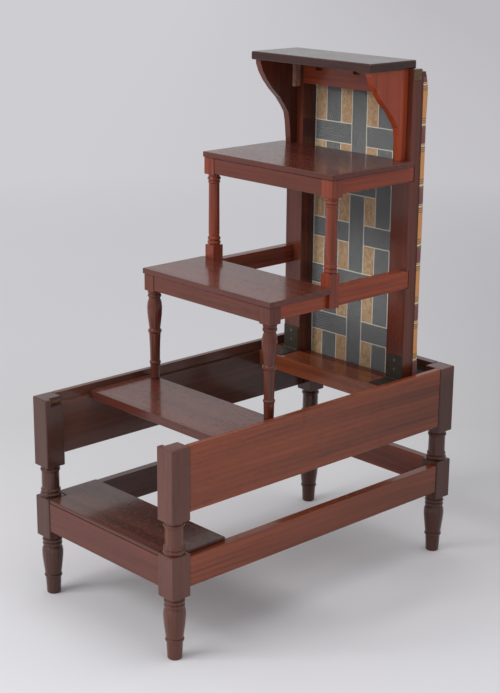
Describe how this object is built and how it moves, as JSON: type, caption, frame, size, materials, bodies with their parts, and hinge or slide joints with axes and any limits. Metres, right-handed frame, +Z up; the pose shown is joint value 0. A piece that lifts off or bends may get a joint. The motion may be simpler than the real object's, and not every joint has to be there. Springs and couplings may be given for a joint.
{
  "type": "library step chair",
  "caption": "Low upholstered stool with turned posts that opens on rear hinges into a short flight of wooden library steps.",
  "frame": {"origin": "on the floor, midway between the posts", "axes": "+Z up, front of the steps facing -Y, +X to the right of a person standing on the floor who looks at the seat frame from the front"},
  "size_m": [0.45, 0.8276, 1.1245],
  "materials": {
    "mahogany": "old polish with soft gloss",
    "dark_mahogany": "old polish, darkened",
    "pale_block": "bare",
    "dark_iron": "dark oiled patina",
    "brass": "dull, aged",
    "webbing": "coarse woven",
    "striped_cover": "woven stripe"
  },
  "bodies": {
    "base": {"post_front_left": "mahogany", "post_front_right": "mahogany", "post_rear_left": "mahogany", "post_rear_right": "mahogany", "side_rail_left": "mahogany", "side_rail_right": "mahogany", "back_rail": "dark_mahogany", "stretcher_left": "mahogany", "stretcher_right": "mahogany", "stretcher_front": "mahogany", "stretcher_back": "mahogany", "tread_1": "mahogany", "hinge_rail": "mahogany", "rail_leaf_left": "dark_iron", "rail_leaf_right": "dark_iron", "hinge_pin_left": "dark_iron", "hinge_pin_right": "dark_iron", "keeper_left": "brass", "keeper_right": "brass"},
    "steps": {"frame_leaf_left": "dark_iron", "frame_leaf_right": "dark_iron", "hinge_screw_left_1": "dark_iron", "hinge_screw_left_2": "dark_iron", "hinge_screw_right_1": "dark_iron", "hinge_screw_right_2": "dark_iron", "stile_left": "mahogany", "stile_right": "mahogany", "frame_top_rail": "mahogany", "frame_bottom_rail": "dark_mahogany", "pad_stile_left": "mahogany", "pad_stile_right": "mahogany", "pad_top_rail": "mahogany", "pad_bottom_rail": "mahogany", "webbing": "webbing", "cushion": "striped_cover", "tread_3": "mahogany", "apron_3": "mahogany", "leg_3_left": "mahogany", "leg_3_right": "mahogany", "rail_3_left": "mahogany", "rail_3_right": "mahogany", "rail_3_rear_left": "mahogany", "rail_3_rear_right": "mahogany", "tread_4": "mahogany", "apron_4": "mahogany", "leg_4_left": "mahogany", "leg_4_right": "mahogany", "rail_4_left": "mahogany", "rail_4_right": "mahogany", "tread_5": "mahogany", "bracket_left": "mahogany", "bracket_right": "mahogany", "glue_block_left": "pale_block", "glue_block_right": "pale_block", "catch_plate_left": "brass", "catch_plate_right": "brass"},
    "tread_2": {"tread_2": "mahogany"}
  },
  "joints": [
    {"name": "steps_fold", "type": "hinge", "parent": "base", "child": "steps", "pos_m": [0, 0.2802, 0.427], "axis": [1, 0, 0], "range_deg": [0, 90]},
    {"name": "tread_2_lift", "type": "slide", "parent": "base", "child": "tread_2", "axis": [0, -0.9063, 0.4226], "range_m": [0, 0.456]}
  ],
  "couplings": [
    {"joint": "tread_2_lift", "follows": "steps_fold", "m_per_rad": 0.29}
  ]
}
